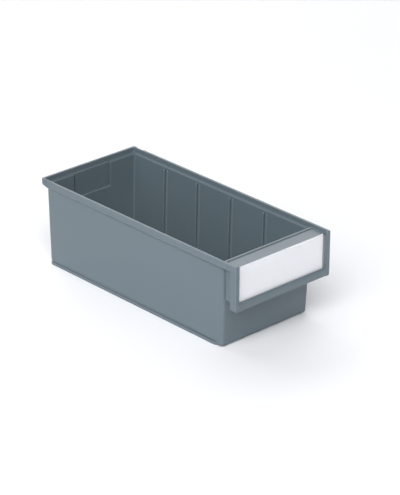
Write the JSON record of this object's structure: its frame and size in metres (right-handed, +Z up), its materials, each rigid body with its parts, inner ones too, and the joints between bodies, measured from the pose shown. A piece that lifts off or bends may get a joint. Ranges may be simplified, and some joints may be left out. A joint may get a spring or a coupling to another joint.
{
  "type": "stackable storage bin",
  "caption": "Open-topped stackable shelf bin with a rimmed tray, divider grooves and a front label holder that holds a card behind a clear cover.",
  "frame": {"origin": "centre of the object's box in X and Y, at the level that the foot ring stands on", "axes": "+Z up out of the bin, -Y towards the front that carries the label holder, +Y towards the rear wall, X across the width"},
  "size_m": [0.132, 0.3, 0.1],
  "materials": {
    "bin_plastic": "fine-grained moulded polypropylene, blue-grey, satin to matt",
    "card": "smooth white label card, matt",
    "clear_plastic": "clear glossy plastic sheet"
  },
  "bodies": {
    "bin": {"bin_body": "bin_plastic"},
    "card": {"label_card": "card"},
    "cover": {"label_cover": "clear_plastic"}
  },
  "joints": [
    {"name": "cover_lift", "type": "slide", "parent": "bin", "child": "cover", "axis": [0, 0, 1], "range_m": [0, 0.045]},
    {"name": "card_lift", "type": "slide", "parent": "bin", "child": "card", "axis": [0, 0, 1], "range_m": [0, 0.045]}
  ]
}
